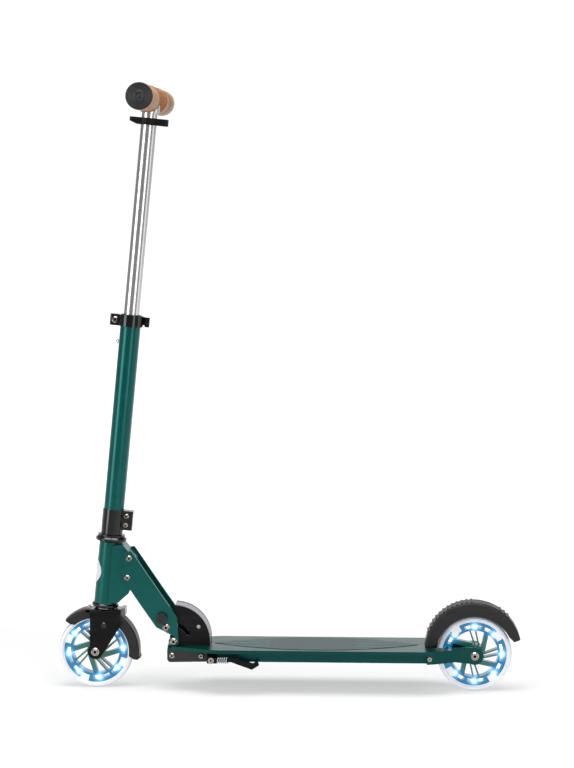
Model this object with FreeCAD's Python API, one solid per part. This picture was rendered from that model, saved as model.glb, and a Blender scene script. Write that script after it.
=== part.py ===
"""A child's folding kick scooter, in millimetres: +X forward, +Y to the rider's left, +Z up.

The origin is on the ground, midway between the front tyre's foremost point and the brake's rearmost.
"""
import FreeCAD, Part
import math
import os

from FreeCAD import Rotation, Vector

os.makedirs("parts", exist_ok=True)

# Driving dimensions

WHEEL_R = 60.0
WHEEL_WIDTH = 24.0
FRONT_AXLE_X = 310.5
REAR_AXLE_X = -297.7

RAKE_DEG = 5.57                 # the steering column leans back by this much
COLUMN_FOOT_X = 309.1           # where the steering axis meets the ground
RUN_GAP = 0.08                  # radial gap of a running fit

DECK_TOP = 71.8
DECK_PLATE = 5.8
DECK_BOTTOM = 51.5
DECK_HALF = 54.6
CHANNEL_HALF = 45.0
NOSE_X = 193.5
NOSE_HALF = 27.0
ARM_IN = 22.0
ARM_OUT = 27.0
ARM_END_R = 14.0
TAIL_X = -225.5                 # the brake hinge, and where the wheel slot starts

PIVOT_X = 183.6
PIVOT_Z = 78.7
PIVOT_BOLT_R = 4.0
BLOCK_R = 58.0
BLOCK_HALF = 20.5
BLOCK_FRONT_X = 182.0
CHEEK = 5.0
PLATE_IN = 21.0
PLATE_OUT = 25.5
BRACKET_SCREW_X = (185.7, 139.2)
BRACKET_SCREW_Z = 57.0
LOCK_BALL = (143.8, 102.4)      # points in the side view are (x, z)
GUIDE = (195.5, 101.5)          # the pin that runs in the cheeks' slot
BUTTON = (202.4, 116.8)
NECK_BOLTS = ((254.4, 213.0), (257.4, 181.6))

KICK_PIVOT = (121.0, 56.5)
SHANK_Y, SHANK_Z = 58.0, 56.8

HINGE_R = 2.45                  # the brake's hinge pin
BRAKE_FOOT = (-219.1, 76.9)     # three points on the brake's outer curve
BRAKE_CROWN = (-300.0, 144.0)
BRAKE_TIP = (-370.5, 85.5)
BRAKE_SKIN = 3.4
BRAKE_HALF = 19.0

HEAD_TUBE_R = 18.5
HEAD_LOW, HEAD_HIGH = 137.6, 238.1      # along the steering axis, from the ground
STEERER_R = 14.1
TUBE_R = 16.2
TUBE_LOW, TUBE_HIGH = 290.7, 604.9
INNER_R = 12.5
INNER_LOW = 545.0
CLAMP_LOW, CLAMP_HIGH = 259.2, 290.4
COLLAR_LOW, COLLAR_HIGH = 585.8, 603.9
COLLAR_BOLT_X = 24.3            # in front of the steering axis
COLLAR_BOLT_S = (COLLAR_LOW + COLLAR_HIGH) / 2
LEVER_PIN_Y = -17.0
LEVER_HALF = 6.5
LOWER_CLAMP_BOLTS = ((-21.7, 281.7), (-21.4, 267.1))
PIN_S = 560.1
CLIP_LOW, CLIP_HIGH = 905.6, 916.5
BAR_S = 945.2
CROSS_R = 12.7
CROSS_IN_R = 11.1
GRIP_START, GRIP_END = 43.0, 168.0
GRIP_R = 21.0
SNAP_Y = 36.0

FORK_IN, FORK_OUT = 16.5, 20.0
CROWN_LOW, CROWN_HIGH = 123.2, 127.0
GUARD_R, GUARD_HALF = 70.0, 16.0
GUARD_BOLT = (296.9, 102.6)

CORE_R = 51.6
RIM_OUT, RIM_IN = 42.0, 37.8
HUB_R, BEARING_R, AXLE_R = 14.4, 11.0, 4.0
BEARING_W = 7.0
TEETH, TOOTH_SPAN = 4, 73.0      # lobes of the core, and each one's angle
LAMP_STARTS = (12, 54)           # where a lobe's two lamps start, by angle

UP = Vector(0, 0, 1)
LEFT = Vector(0, 1, 0)
FORWARD = Vector(1, 0, 0)


# Small makers

def save(name, shape):
    """Writes one piece to its own file."""
    if shape.isNull() or not shape.isValid():
        raise ValueError(name + " is not a sound solid")
    shape.exportStep("parts/" + name + ".step")


def box(low, high):
    """A box between two opposite corners."""
    size = [b - a for a, b in zip(low, high)]
    return Part.makeBox(*size, Vector(*low))


def across(x, z, radius, low, high):
    """A cylinder that lies along Y."""
    return Part.makeCylinder(radius, high - low, Vector(x, low, z), LEFT)


def side_plate(outline, low, high):
    """An outline of (x, z) points, straight between them, made a plate from y low to y high."""
    points = [Vector(x, low, z) for x, z in outline]
    face = Part.Face(Part.makePolygon(points + points[:1]))
    return face.extrude(LEFT * (high - low))


def plan_plate(outline, low, high):
    """An outline of (x, y) points made a plate from z low to z high."""
    points = [Vector(x, y, low) for x, y in outline]
    face = Part.Face(Part.makePolygon(points + points[:1]))
    return face.extrude(UP * (high - low))


def turned(profile):
    """A closed outline of (radius, height) points, turned about the Z axis."""
    points = [Vector(r, 0, h) for r, h in profile]
    face = Part.Face(Part.makePolygon(points + points[:1]))
    return face.revolve(Vector(0, 0, 0), UP, 360)


def tube(outer, inner, low, high):
    """A round tube about the Z axis."""
    return turned([(inner, low), (outer, low), (outer, high), (inner, high)])


def mirror(shape):
    """The same piece on the other side of the scooter."""
    return shape.mirror(Vector(0, 0, 0), LEFT)


def both(shape):
    """A piece and its mirror image, as two solids of one node."""
    return Part.makeCompound([shape, mirror(shape)])


def joined(shapes):
    """Overlapping solids as one clean solid."""
    whole = shapes[0].multiFuse(shapes[1:]) if len(shapes) > 1 else shapes[0]
    return whole.removeSplitter()


def on_column(shape):
    """Leans a piece that was built about the Z axis onto the steering axis."""
    leaned = shape.copy()
    place = FreeCAD.Placement(Vector(COLUMN_FOOT_X, 0, 0), Rotation(LEFT, -RAKE_DEG))
    leaned.Placement = place.multiply(leaned.Placement)
    return leaned


def laid_across(shape, x, z):
    """Lays a piece that was built about the Z axis along Y, through (x, z)."""
    laid = shape.copy()
    place = FreeCAD.Placement(Vector(x, 0, z), Rotation(FORWARD, -90))
    laid.Placement = place.multiply(laid.Placement)
    return laid


def rounded(shape, radius, wanted):
    """Rounds the edges for which wanted(edge) is true."""
    edges = [edge for edge in shape.Edges if wanted(edge)]
    return shape.makeFillet(radius, edges)


def polar(x, z, radius, degrees):
    """The point at this angle from +X on a circle in the side view."""
    angle = math.radians(degrees)
    return x + radius * math.cos(angle), z + radius * math.sin(angle)


def touch_point(x, z, centre_x, centre_z, radius, side):
    """Where a straight line from (x, z) touches a circle; side is +1 or -1."""
    dx, dz = centre_x - x, centre_z - z
    distance = math.hypot(dx, dz)
    angle = math.atan2(dz, dx) + side * math.asin(radius / distance)
    reach = math.sqrt(distance ** 2 - radius ** 2)
    return x + reach * math.cos(angle), z + reach * math.sin(angle)


def socket_bolt(x, z, start, end, head_r, head, shaft_r, key_r=2.0):
    """A button-head bolt along Y, its head beyond start, its shaft ending at end."""
    out = 1 if start > end else -1
    crown = Part.makeCone(head_r, head_r * 0.72, head * 0.55, Vector(0, 0, head * 0.45))
    lower = Part.makeCylinder(head_r, head * 0.45)
    key = Part.makeCylinder(key_r, head * 0.7, Vector(0, 0, head * 0.4))
    cap = lower.fuse(crown).cut(key)
    shaft = Part.makeCylinder(shaft_r, abs(start - end), Vector(0, 0, -abs(start - end)))
    bolt = cap.fuse(shaft).removeSplitter()
    bolt.Placement = FreeCAD.Placement(Vector(x, start, z), Rotation(FORWARD, -90 * out))
    return bolt


# Deck

def deck_outline():
    """Half of the deck from above, from the nose to the rear arm's end."""
    return [(NOSE_X, NOSE_HALF), (165.0, 36.5), (140.0, 46.8), (122.0, 53.2), (108.0, DECK_HALF),
            (-221.0, DECK_HALF), (-232.0, 51.5), (-262.0, 36.0), (-276.0, 29.6), (-288.0, ARM_OUT),
            (REAR_AXLE_X, ARM_OUT)]


def make_deck():
    half = deck_outline()
    outline = half + [(x, -y) for x, y in reversed(half)]
    top = plan_plate(outline, DECK_TOP - DECK_PLATE, DECK_TOP)
    channel = box((TAIL_X - 4, -CHANNEL_HALF, DECK_BOTTOM), (112, CHANNEL_HALF, DECK_TOP - 1))
    channel = channel.fuse(box((112, -26.0, DECK_BOTTOM), (NOSE_X - 1, 26.0, DECK_TOP - 1)))
    hollow = box((TAIL_X + 13, -CHANNEL_HALF + 4, 0), (108, CHANNEL_HALF - 4, DECK_TOP - DECK_PLATE))
    hollow = hollow.fuse(box((100, -22.0, 0), (168, 22.0, DECK_TOP - DECK_PLATE)))
    slot = box((REAR_AXLE_X - 20, -ARM_IN, 0), (TAIL_X + 7, ARM_IN, 100))
    body = top.fuse(channel).cut(hollow)
    tail = [(x, y) for x, y in half if x < -200] + [(REAR_AXLE_X, ARM_IN), (-219.0, ARM_IN)]
    wedge = plan_plate(tail, DECK_BOTTOM, DECK_TOP)
    pocket = [(-229.0, 48.0), (-229.0, ARM_IN - 1), (-272.0, ARM_IN - 1), (-262.0, 32.0)]
    wedge = wedge.cut(plan_plate(pocket, 0, DECK_TOP - DECK_PLATE))
    arm = side_plate([(-250.0, DECK_BOTTOM), (-250.0, DECK_TOP), (REAR_AXLE_X, WHEEL_R + ARM_END_R),
                      (REAR_AXLE_X, WHEEL_R - ARM_END_R), (REAR_AXLE_X + 6, WHEEL_R - 12.6)],
                     ARM_IN, ARM_OUT)
    end = across(REAR_AXLE_X, WHEEL_R, ARM_END_R, ARM_IN, ARM_OUT)
    side = joined([wedge, arm, end])
    body = joined([body.cut(slot), side, mirror(side)])
    for x in BRACKET_SCREW_X:
        body = body.cut(across(x, BRACKET_SCREW_Z, 2.6, -60, 60))
    body = body.cut(across(REAR_AXLE_X, WHEEL_R, AXLE_R, -60, 60))
    body = body.cut(across(TAIL_X, WHEEL_R, 2.5, -60, 60))
    for low, high in ((52.0, 60.0), (-60.0, -52.0)):
        body = body.cut(across(TAIL_X, WHEEL_R, 3.5, low, high))
    relief = box((166, PLATE_IN - 0.6, DECK_TOP - 2.6), (NOSE_X + 3, PLATE_OUT + 3.6, DECK_TOP + 1))
    body = body.cut(relief).cut(mirror(relief))
    return body.removeSplitter()


def make_grip_sheet():
    """A leaf-shaped sheet of grit, two arcs that meet at its tips."""
    tips = Vector(119.0, 0, DECK_TOP), Vector(-208.0, 0, DECK_TOP)
    middle = Vector(-44.0, 46.0, DECK_TOP)
    arcs = [Part.Arc(tips[0], middle, tips[1]).toShape(),
            Part.Arc(tips[1], Vector(middle.x, -middle.y, DECK_TOP), tips[0]).toShape()]
    return Part.Face(Part.Wire(arcs)).extrude(UP * 0.6)


# Fold block

def block_profile(radius, low, high):
    """The block's quarter disc about the fold pivot, cut flat at the deck and at the front."""
    disc = across(PIVOT_X, PIVOT_Z, radius, low, high)
    return disc.common(box((0, low, DECK_TOP), (BLOCK_FRONT_X + 8, high, 300)))


def make_cheeks():
    low, high = BLOCK_HALF - CHEEK, BLOCK_HALF
    cheek = block_profile(BLOCK_R, low, high)
    cheek = cheek.cut(box((BLOCK_FRONT_X, low, PIVOT_Z + 9), (300, high, 300)))
    slot_r = math.hypot(GUIDE[0] - PIVOT_X, GUIDE[1] - PIVOT_Z)
    ring = across(PIVOT_X, PIVOT_Z, slot_r + 3.8, low, high)
    ring = ring.cut(across(PIVOT_X, PIVOT_Z, slot_r - 3.8, low, high))
    wedge = [(PIVOT_X, PIVOT_Z), polar(PIVOT_X, PIVOT_Z, 90, 150), polar(PIVOT_X, PIVOT_Z, 110, 100),
             polar(PIVOT_X, PIVOT_Z, 90, 50)]
    cheek = cheek.cut(ring.common(side_plate(wedge, low, high)))
    cheek = cheek.cut(across(*polar(PIVOT_X, PIVOT_Z, slot_r, 150), 3.8, low, high))
    cheek = cheek.cut(across(PIVOT_X, PIVOT_Z, PIVOT_BOLT_R, low, high))
    cheek = cheek.cut(across(*LOCK_BALL, 3.0, low, high))
    return both(cheek)


def make_rim():
    low, high = -BLOCK_HALF + CHEEK, BLOCK_HALF - CHEEK
    rim = block_profile(BLOCK_R - 0.4, low, high).cut(across(PIVOT_X, PIVOT_Z, BLOCK_R - 6, low, high))
    rim = rim.cut(box((BLOCK_FRONT_X, low, PIVOT_Z), (300, high, 300)))
    foot = box((128.0, low, DECK_TOP), (192.0, high, PIVOT_Z - 4.5))
    rim = rim.fuse(foot)
    ribs = [across(*polar(PIVOT_X, PIVOT_Z, BLOCK_R - 0.4, angle), 0.7, low, high)
            for angle in range(98, 172, 3)]
    return joined([rim] + ribs)


def make_lock_balls():
    ball = across(*LOCK_BALL, 3.0, BLOCK_HALF - CHEEK, BLOCK_HALF - 0.6)
    dome = Part.makeSphere(2.2, Vector(LOCK_BALL[0], BLOCK_HALF - 1.6, LOCK_BALL[1]))
    dome = dome.common(across(*LOCK_BALL, 3.0, BLOCK_HALF - CHEEK, PLATE_IN - 0.2))
    return both(ball.fuse(dome).removeSplitter())


def make_nose_brackets():
    outline = [(NOSE_X, 65.8), (118.0, 65.8), (118.0, 48.0), (190.0, 46.5), (NOSE_X, 50.5)]
    plate = side_plate(outline, 26.2, 30.0)
    for x in BRACKET_SCREW_X:
        plate = plate.cut(across(x, BRACKET_SCREW_Z, 2.6, 20, 40))
    return both(plate)


def make_bracket_screws():
    screws = [socket_bolt(x, BRACKET_SCREW_Z, 30.0, 23.0, 4.6, 2.4, 2.5) for x in BRACKET_SCREW_X]
    return Part.makeCompound(screws + [mirror(screw) for screw in screws])


def make_pivot_bolt():
    reach = PLATE_OUT + 0.3
    bolt = socket_bolt(PIVOT_X, PIVOT_Z, reach, -reach - 4, 6.2, 2.8, PIVOT_BOLT_R, 2.6)
    nut = across(PIVOT_X, PIVOT_Z, 6.2, -reach - 4.5, -reach).cut(
        across(PIVOT_X, PIVOT_Z, PIVOT_BOLT_R, -40, 0))
    return bolt.fuse(nut).removeSplitter()


# Kickstand

def make_kick_block():
    block = box((113.2, 30.2, 48.0), (128.8, 44.0, 62.5))
    block = block.fuse(box((118.0, 44.0, 51.0), (126.0, 54.3, 62.0)))
    return block.cut(across(*KICK_PIVOT, 3.1, 46.0, 60.0)).removeSplitter()


def make_kick_pin():
    return across(*KICK_PIVOT, 3.0, 46.2, 62.0).fuse(across(*KICK_PIVOT, 4.6, 61.2, 62.5))


def make_kick_arm():
    """A forged leg: an eye on the pin, a round shank, and a foot that bends up at its end."""
    eye = across(*KICK_PIVOT, 5.4, 55.6, 60.8).cut(across(*KICK_PIVOT, 3.0 + RUN_GAP, 50, 70))
    shank = Part.makeCylinder(3.2, 38.0, Vector(116.6, SHANK_Y, SHANK_Z), Vector(-1, 0, 0))
    leg = side_plate([(92.0, 62.6), (92.0, 55.4), (56.0, 42.5), (44.5, 49.5), (47.5, 57.0),
                      (54.0, 51.6)], 54.4, 61.6)
    return joined([eye, shank, leg])


def make_kick_spring():
    """The zinc spring about the shank, one closed sleeve with grooves for its coils."""
    pitch = 3.4
    coils = [tube(5.4, 3.3, i * pitch, i * pitch + 2.6) for i in range(6)]
    spring = joined(coils + [tube(4.6, 3.3, 0, 5 * pitch + 2.6)])
    spring.Placement = FreeCAD.Placement(Vector(93.0, SHANK_Y, SHANK_Z), Rotation(LEFT, 90))
    return spring


# Brake

def circle_through(a, b, c):
    """The centre and radius of the circle through three points."""
    circle = Part.Arc(*[Vector(x, 0, z) for x, z in (a, b, c)]).toShape().Curve
    return circle.Center.x, circle.Center.z, circle.Radius


def make_brake():
    cx, cz, radius = circle_through(BRAKE_FOOT, BRAKE_CROWN, BRAKE_TIP)
    hood = across(cx, cz, radius, -BRAKE_HALF, BRAKE_HALF)
    hood = rounded(hood, 5.0, lambda edge: edge.Length > 100)
    hood = hood.cut(across(REAR_AXLE_X, WHEEL_R, WHEEL_R + 2.2, -50, 50))
    hollow = across(cx, cz, radius - BRAKE_SKIN, -BRAKE_HALF + 2.6, BRAKE_HALF - 2.6)
    hood = hood.cut(hollow)
    low_edge = [(BRAKE_TIP[0] - 9, -30), (BRAKE_TIP[0] - 9, 87.8), (-360.5, 81.6), (-350.0, 92.0),
                (-238.0, 77.0), (-230.0, DECK_TOP + 1.2), (-200.0, DECK_TOP + 1.2), (-200.0, -30)]
    hood = hood.cut(side_plate(low_edge, -50, 50))
    foot = side_plate([(-221.5, 78.5), (-232.5, 84.0), (-230.5, 60.0), (-220.5, 60.0)], -16.0, 16.0)
    foot = foot.fuse(across(TAIL_X, WHEEL_R, 5.0, -16.0, 16.0))
    ridges = [across(*polar(cx, cz, radius - 0.3, angle), 1.8, -BRAKE_HALF + 4.5, BRAKE_HALF - 4.5)
              for angle in list(range(22, 94, 6)) + [124, 130, 136]]
    brake = joined([hood, foot] + ridges)
    brake = brake.cut(across(TAIL_X, WHEEL_R, HINGE_R + RUN_GAP, -30, 30))
    spring_room = box((TAIL_X - 6, -5.2, 54.0), (TAIL_X + 6, 5.2, 65.4))
    return brake.cut(spring_room)


def make_brake_pin():
    """The hinge pin, held at each end by a screw in the side of the deck."""
    pin = across(TAIL_X, WHEEL_R, HINGE_R, -52.1, 52.1)
    screw = across(TAIL_X, WHEEL_R, 3.4, 52.1, 54.6).cut(across(TAIL_X, WHEEL_R, 1.3, 53.6, 60))
    return joined([pin, screw, mirror(screw)])


def make_brake_spring():
    return laid_across(tube(4.6, 2.55, -4.8, 4.8), TAIL_X, WHEEL_R)


# Neck, which folds over the deck

def make_neck_plate():
    outline = [(261.9, 223.8), (250.7, 225.1), (201.8, 152.9), (178.0, 118.8),
               (PIVOT_X - 8.0, PIVOT_Z), (PIVOT_X, PIVOT_Z),
               touch_point(211.2, 101.8, PIVOT_X, PIVOT_Z, 8.0, -1),
               (211.2, 101.8), (237.1, 138.9), (252.0, 161.0), (265.4, 181.6)]
    plate = side_plate(outline, PLATE_IN, PLATE_OUT)
    plate = plate.fuse(across(PIVOT_X, PIVOT_Z, 8.0, PLATE_IN, PLATE_OUT)).removeSplitter()
    plate = plate.cut(across(PIVOT_X, PIVOT_Z, PIVOT_BOLT_R + RUN_GAP, 0, 60))
    for x, z in NECK_BOLTS:
        plate = plate.cut(across(x, z, 3.0, 0, 60))
    plate = plate.cut(across(*BUTTON, 4.4 + RUN_GAP, 0, 60))
    return plate.cut(across(*GUIDE, 3.0, 0, 60))


def make_head_tube():
    barrel = on_column(tube(HEAD_TUBE_R, 15.4, HEAD_LOW, HEAD_HIGH))
    lug = side_plate([(272.0, 234.0), (264.0, 233.0), (246.0, 212.0), (241.0, 196.0), (256.0, 155.5),
                      (274.0, 139.5), (290.0, 141.0), (282.0, 232.0)], -PLATE_IN, PLATE_IN)
    bore = on_column(Part.makeCylinder(15.4, 400))
    bore_wall = on_column(Part.makeCylinder(HEAD_TUBE_R - 0.5, 400))
    head = barrel.fuse(lug.cut(bore_wall)).cut(bore)
    for x, z in NECK_BOLTS:
        head = head.cut(across(x, z, 3.0, -60, 60))
    return head.removeSplitter()


def make_bearing_cups():
    upper = turned([(15.5, HEAD_HIGH), (25.0, HEAD_HIGH + 2.2), (25.0, HEAD_HIGH + 6.0),
                    (21.5, HEAD_HIGH + 9.0), (16.2, HEAD_HIGH + 9.0), (16.2, HEAD_HIGH + 2.0),
                    (15.5, HEAD_HIGH + 2.0)])
    lower = turned([(16.2, HEAD_LOW - 6.4), (19.4, HEAD_LOW - 6.4), (21.6, HEAD_LOW - 4.6),
                    (21.6, HEAD_LOW - 1.8), (19.5, HEAD_LOW), (15.5, HEAD_LOW), (15.5, HEAD_LOW - 2.0),
                    (16.2, HEAD_LOW - 2.0)])
    return Part.makeCompound([on_column(upper), on_column(lower)])


def make_head_badge():
    """A plain oval plate that follows the front of the head tube."""
    skin = tube(HEAD_TUBE_R + 1.0, HEAD_TUBE_R, 160, 215)
    oval = Part.Ellipse(Vector(0, 0, 0), 21.0, 15.8).toShape()
    oval = Part.Face(Part.Wire([oval])).extrude(UP * 30)
    oval.Placement = FreeCAD.Placement(Vector(0, 0, 188.5), Rotation(Vector(0, 0, 1), UP, FORWARD, "ZXY"))
    return on_column(skin.common(oval))


def make_neck_bolts():
    bolts = []
    for x, z in NECK_BOLTS:
        bolts.append(socket_bolt(x, z, PLATE_OUT, -PLATE_OUT, 4.8, 2.6, 3.0))
        bolts.append(socket_bolt(x, z, -PLATE_OUT, -PLATE_OUT + 1, 4.8, 2.6, 3.0))
    left = [bolts[0].fuse(bolts[1]).removeSplitter(), bolts[2].fuse(bolts[3]).removeSplitter()]
    return Part.makeCompound(left)


def make_guide_pin():
    pin = socket_bolt(*GUIDE, PLATE_OUT, -PLATE_OUT, 6.1, 3.0, 3.0, 2.4)
    return pin.fuse(socket_bolt(*GUIDE, -PLATE_OUT, -PLATE_OUT + 1, 6.1, 3.0, 3.0, 2.4)).removeSplitter()


def make_fold_button():
    knob = across(*BUTTON, 9.1, PLATE_OUT + 3.2, PLATE_OUT + 8.4)
    knob = rounded(knob, 1.4, lambda edge: edge.Length > 50 and edge.CenterOfMass.y > PLATE_OUT + 8)
    stem = across(*BUTTON, 4.4, PLATE_IN + 0.2, PLATE_OUT + 4)
    knob = knob.fuse(stem).cut(across(*BUTTON, 4.2, PLATE_OUT + 7.4, PLATE_OUT + 9))
    screw = across(*BUTTON, 3.8, PLATE_OUT + 6.4, PLATE_OUT + 8.2)
    screw = screw.cut(across(*BUTTON, 1.5, PLATE_OUT + 7.2, PLATE_OUT + 9))
    return knob.fuse(screw).removeSplitter()


# Steering: fork, column and front mudguard

def make_fork():
    """Two folded sheet legs under one crown plate."""
    low_touch = touch_point(270.4, 100.6, FRONT_AXLE_X, WHEEL_R, 12.0, -1)
    outline = [(318.6, 125.0), (270.2, 125.0), (270.4, 100.6), low_touch, (FRONT_AXLE_X, WHEEL_R),
               (FRONT_AXLE_X + 8.6, WHEEL_R + 8.4)]
    leg = side_plate(outline, FORK_IN, FORK_OUT)
    leg = leg.fuse(across(FRONT_AXLE_X, WHEEL_R, 12.0, FORK_IN, FORK_OUT))
    leg = leg.cut(across(FRONT_AXLE_X, WHEEL_R, AXLE_R, 0, 50))
    leg = leg.cut(across(*GUARD_BOLT, 2.6, 0, 50))
    crown = box((270.2, -FORK_OUT, CROWN_LOW), (318.6, FORK_OUT, CROWN_HIGH))
    crown = rounded(crown, 2.6, lambda edge: edge.CenterOfMass.z > 126 and abs(edge.CenterOfMass.y) > 19)
    crown = crown.cut(on_column(Part.makeCylinder(STEERER_R, 400)))
    return joined([crown, leg, mirror(leg)])


def make_fork_steerer():
    low = CROWN_LOW + 1.2
    return on_column(tube(STEERER_R, 11.8, low, TUBE_LOW + 12))


def make_crown_race():
    """The zinc yoke on the crown and the race that the lower bearing turns on."""
    race = on_column(turned([(STEERER_R, 125.0), (18.4, 125.0), (18.4, 127.2), (15.4, 128.6),
                             (15.4, HEAD_LOW - 6.3), (STEERER_R, HEAD_LOW - 6.3)]))
    yoke = box((262.5, -13.0, CROWN_HIGH), (325.0, 13.0, CROWN_HIGH + 1.0))
    yoke = yoke.fuse(box((262.5, -13.0, 118.0), (269.0, 13.0, 129.6)))
    yoke = yoke.fuse(box((320.0, -13.0, CROWN_HIGH), (325.5, 13.0, 130.2)))
    yoke = yoke.cut(on_column(Part.makeCylinder(20.5, 400)))
    flat = box((270.5, -13.0, CROWN_HIGH), (318.0, 13.0, CROWN_HIGH + 0.9))
    flat = flat.cut(on_column(Part.makeCylinder(STEERER_R, 400)))
    race = race.common(box((0, -60, CROWN_HIGH), (600, 60, 200)))
    return joined([yoke, flat, race])


def make_headset_bearings():
    low = on_column(tube(16.1, STEERER_R, HEAD_LOW - 6.2, HEAD_LOW - 2.2))
    high = on_column(tube(16.1, STEERER_R, HEAD_HIGH + 2.2, HEAD_HIGH + 8.8))
    return Part.makeCompound([low, high])


def make_locknut():
    low, high = HEAD_HIGH + 9.6, CLAMP_LOW - 0.2
    nut = turned([(STEERER_R, low), (22.0, low), (22.0, low + 2.4), (17.6, low + 3.4),
                  (17.6, high), (STEERER_R, high)])
    return on_column(nut)


def make_steering_tube():
    barrel = tube(TUBE_R, STEERER_R + 0.05, TUBE_LOW, TUBE_HIGH)
    bush = tube(STEERER_R + 1, INNER_R + RUN_GAP, TUBE_HIGH - 50, TUBE_HIGH)
    barrel = barrel.fuse(bush)
    hole = Part.makeCylinder(3.7, 30, Vector(0, 0, PIN_S), FORWARD)
    return on_column(barrel.cut(hole).removeSplitter())


def clamp(low, high, bore, wall, ear_from, ear_to, ear_half, bolts):
    """A split clamp about the Z axis, its two ears bored for bolts along Y."""
    ring = tube(bore + wall, bore, low, high)
    ear = box((min(ear_from, ear_to), -ear_half, low), (max(ear_from, ear_to), ear_half, high))
    sides = [edge for edge in ear.Edges if edge.CenterOfMass.z > low + 1 and edge.CenterOfMass.z < high - 1]
    outer = [edge for edge in sides if abs(edge.CenterOfMass.x - ear_to) < 0.1]
    ear = ear.makeFillet(3.0, outer)
    body = ring.fuse(ear.cut(Part.makeCylinder(bore + wall / 2, 1000)))
    body = body.cut(box((min(ear_from, ear_to), -0.8, low), (max(ear_from, ear_to), 0.8, high)))
    for along, height, radius in bolts:
        body = body.cut(Part.makeCylinder(radius, 60, Vector(along, -30, height), LEFT))
    return body.removeSplitter()


def make_lower_clamp():
    bolts = [(along, height, 2.5) for along, height in LOWER_CLAMP_BOLTS]
    return on_column(clamp(CLAMP_LOW, CLAMP_HIGH, STEERER_R + 0.05, 3.6, -12.0, -32.3, 9.0, bolts))


def column_bolt(along, height, half, head_r, head, shaft_r):
    """A bolt along Y through a clamp, in the column's own frame."""
    bolt = socket_bolt(along, height, half, -half - 2.2, head_r, head, shaft_r, 1.8)
    nut = across(along, height, head_r - 0.4, -half - 2.4, -half)
    return on_column(bolt.fuse(nut).removeSplitter())


def make_lower_clamp_bolts():
    return Part.makeCompound([column_bolt(along, height, 9.0, 4.4, 3.0, 2.5)
                              for along, height in LOWER_CLAMP_BOLTS])


def make_collar():
    bolts = [(COLLAR_BOLT_X, COLLAR_BOLT_S, 3.0)]
    collar = clamp(COLLAR_LOW, COLLAR_HIGH, TUBE_R + 0.05, 3.3, 12.0, 32.9, 9.0, bolts)
    return on_column(collar)


def make_collar_bolt():
    """The collar's tension bolt, which ends in the cross pin that the lever turns on."""
    bolt = socket_bolt(COLLAR_BOLT_X, COLLAR_BOLT_S, 9.0, LEVER_PIN_Y, 5.2, 3.4, 3.0, 1.8)
    cross_pin = Part.makeCylinder(2.6, 2 * LEVER_HALF,
                                  Vector(COLLAR_BOLT_X, LEVER_PIN_Y, COLLAR_BOLT_S - LEVER_HALF))
    return on_column(joined([bolt, cross_pin]))


def make_quick_lever():
    """The over-centre lever: an eye on the bolt's cross pin and an arm that wraps the collar."""
    low, high = COLLAR_BOLT_S - LEVER_HALF, COLLAR_BOLT_S + LEVER_HALF
    eye = Part.makeCylinder(5.4, high - low, Vector(COLLAR_BOLT_X, LEVER_PIN_Y, low))
    wrap = tube(26.4, 22.4, low, high).common(
        plan_plate([(19.0, -16.0), (60.0, -60.0), (-60.0, -60.0), (-60.0, 2.0), (0.0, 0.0)], low, high))
    tip = box((-29.5, -4.0, low - 1.5), (-22.6, 4.0, high + 0.8))
    lever = joined([eye, wrap, tip])
    pin_room = Part.makeCylinder(2.6 + RUN_GAP, 60, Vector(COLLAR_BOLT_X, LEVER_PIN_Y, low - 20))
    lever = lever.cut(pin_room)
    fork_gap = box((COLLAR_BOLT_X - 8, -20.6, COLLAR_BOLT_S - 3.6),
                   (COLLAR_BOLT_X + 8, 0, COLLAR_BOLT_S + 3.6))
    lever = lever.cut(fork_gap)
    return on_column(lever)


def make_front_mudguard():
    hood = across(FRONT_AXLE_X, WHEEL_R, GUARD_R, -GUARD_HALF, GUARD_HALF)
    hood = rounded(hood, 4.0, lambda edge: edge.Length > 100)
    hood = hood.cut(across(FRONT_AXLE_X, WHEEL_R, GUARD_R - 2.4, -GUARD_HALF + 1.9, GUARD_HALF - 1.9))
    hood = hood.cut(across(FRONT_AXLE_X, WHEEL_R, 54.0, -50, 50))
    keep = side_plate([(FRONT_AXLE_X - 18, WHEEL_R + 30), polar(FRONT_AXLE_X, WHEEL_R, 50, 186),
                       polar(FRONT_AXLE_X, WHEEL_R, 63, 192), polar(FRONT_AXLE_X, WHEEL_R, 90, 190),
                       polar(FRONT_AXLE_X, WHEEL_R, 110, 150),
                       polar(FRONT_AXLE_X, WHEEL_R, 110, 100), polar(FRONT_AXLE_X, WHEEL_R, 110, 60),
                       (358.5, 108.5), (351.0, 103.5), (338.0, 102.0), (322.0, 106.5)], -50, 50)
    hood = hood.common(keep)
    hood = hood.cut(box((261.8, -50, CROWN_LOW - 0.8), (326.2, 50, 200)))
    hood = hood.cut(box((261.8, -12.0, 117.0), (270.0, 12.0, 200)))
    hood = hood.cut(across(*GUARD_BOLT, 2.6, -50, 50))
    lip_x, lip_z = polar(FRONT_AXLE_X, WHEEL_R, GUARD_R - 1.5, 189.0)
    flare = side_plate([(lip_x - 0.6, lip_z + 7), (lip_x - 4.0, lip_z - 1.2), (lip_x + 2.2, lip_z - 1.0)],
                       -GUARD_HALF + 3, GUARD_HALF - 3)
    return joined([hood, flare])


def make_mudguard_bolts():
    return both(socket_bolt(*GUARD_BOLT, FORK_OUT, 14.3, 5.6, 3.0, 2.5, 2.4))


def make_front_axle():
    reach = FORK_OUT
    bolt = socket_bolt(FRONT_AXLE_X, WHEEL_R, reach, -reach - 4.0, 6.6, 3.4, AXLE_R, 2.6)
    nut = across(FRONT_AXLE_X, WHEEL_R, 6.6, -reach - 4.4, -reach)
    return bolt.fuse(nut).removeSplitter()


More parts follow.
